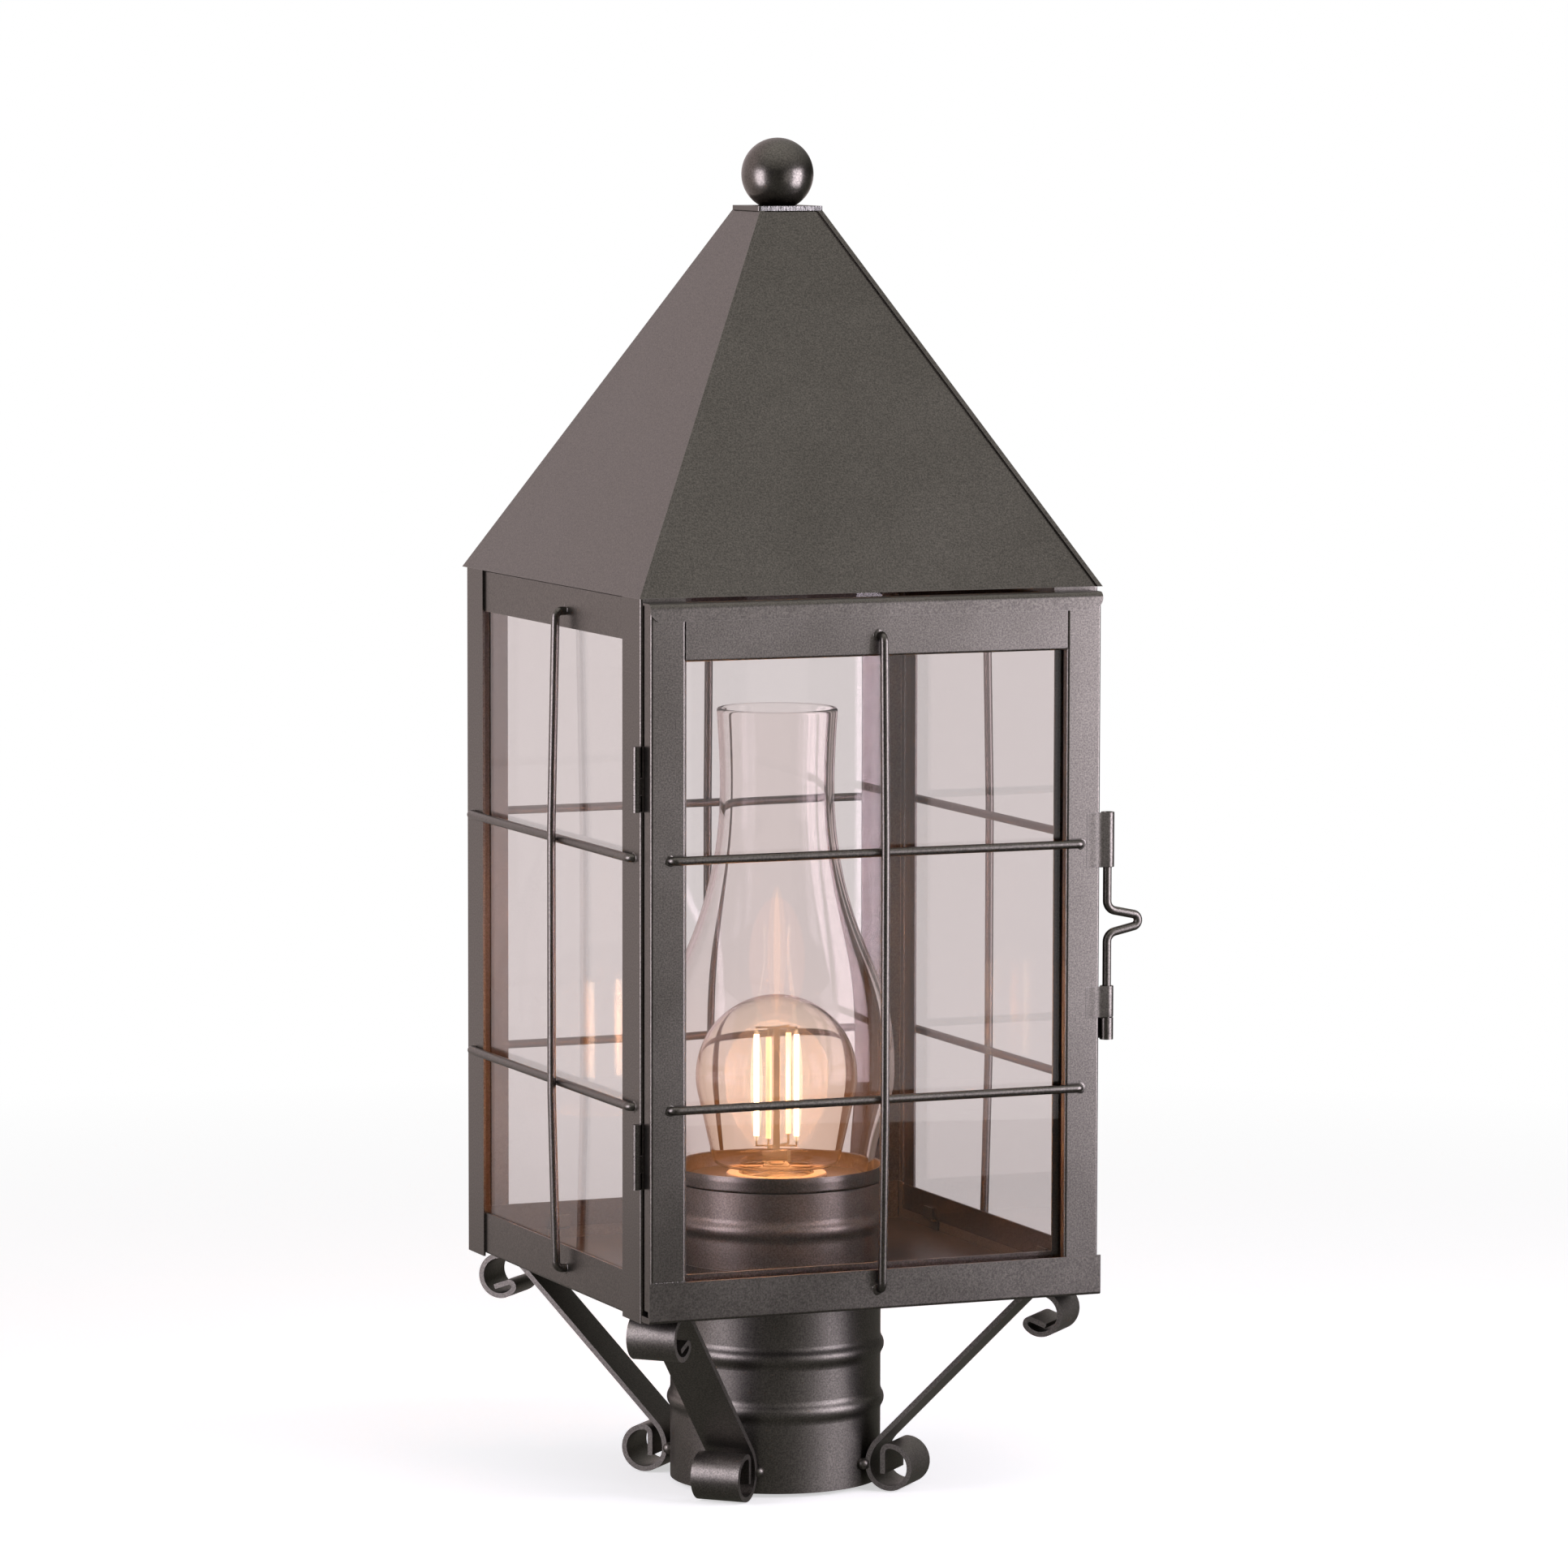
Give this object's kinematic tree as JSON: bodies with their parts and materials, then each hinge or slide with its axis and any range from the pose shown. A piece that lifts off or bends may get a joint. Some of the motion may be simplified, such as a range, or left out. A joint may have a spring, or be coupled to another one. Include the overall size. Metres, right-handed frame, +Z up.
{
  "type": "post-top street lantern",
  "caption": "Square glazed post-top lantern with pyramid roof and ball finial, hinged glass door with a lift latch, glass chimney and bulb, on a round post fitter with scroll brackets.",
  "frame": {"origin": "centre of the round fitter tube's lower rim, where the post enters", "axes": "+Z up along the post, -Y towards the door, +X towards the latch side"},
  "size_m": [0.2018, 0.2011, 0.5027],
  "materials": {
    "paint": "satin",
    "pane_glass": "clear",
    "chimney_glass": "clear",
    "bulb_glass": "clear",
    "filament": "matte",
    "ceramic": "gloss",
    "brass": "satin",
    "bulb_cap": "satin",
    "zinc": "satin"
  },
  "bodies": {
    "lantern": {"base_rail_back": "paint", "base_rail_front": "paint", "base_rail_left": "paint", "base_rail_right": "paint", "bulb_cap": "bulb_cap", "bulb_filaments": "filament", "bulb_glass": "bulb_glass", "bulb_stem": "bulb_glass", "cap_plate": "zinc", "chimney": "chimney_glass", "corner_post_back_left": "paint", "corner_post_back_right": "paint", "corner_post_front_left": "paint", "corner_post_front_right": "paint", "door_header": "paint", "finial_ball": "paint", "finial_nut": "zinc", "finial_stud": "zinc", "fitter_tube": "paint", "floor_plate": "paint", "gallery_pan": "paint", "guard_back": "paint", "guard_left": "paint", "guard_right": "paint", "hinge_frame_leaves": "paint", "hinge_pins": "paint", "lampholder_body": "ceramic", "lampholder_contact": "brass", "lampholder_ring": "brass", "lampholder_shell": "brass", "latch_catch": "paint", "pane_back": "pane_glass", "pane_clips": "paint", "pane_left": "pane_glass", "pane_right": "pane_glass", "roof_back": "paint", "roof_front": "paint", "roof_left": "paint", "roof_right": "paint", "scroll_bracket_back_left": "paint", "scroll_bracket_back_right": "paint", "scroll_bracket_front_left": "paint", "scroll_bracket_front_right": "paint", "top_rail_back": "paint", "top_rail_left": "paint", "top_rail_right": "paint"},
    "door": {"door_bottom_rail": "paint", "door_clips": "paint", "door_drip_lip": "paint", "door_guard": "paint", "door_pane": "pane_glass", "door_stile_hinge": "paint", "door_stile_latch": "paint", "door_top_rail": "paint", "hinge_door_leaves": "paint", "latch_barrel_lower": "paint", "latch_barrel_upper": "paint"},
    "latch": {"latch_rod": "paint"}
  },
  "joints": [
    {"name": "door_hinge", "type": "hinge", "parent": "lantern", "child": "door", "pos_m": [-0.0916, -0.0907, 0.2], "axis": [0, 0, -1], "range_deg": [0, 180]},
    {"name": "latch_slide", "type": "slide", "parent": "door", "child": "latch", "axis": [0, 0, 1], "range_m": [0, 0.0095]}
  ]
}
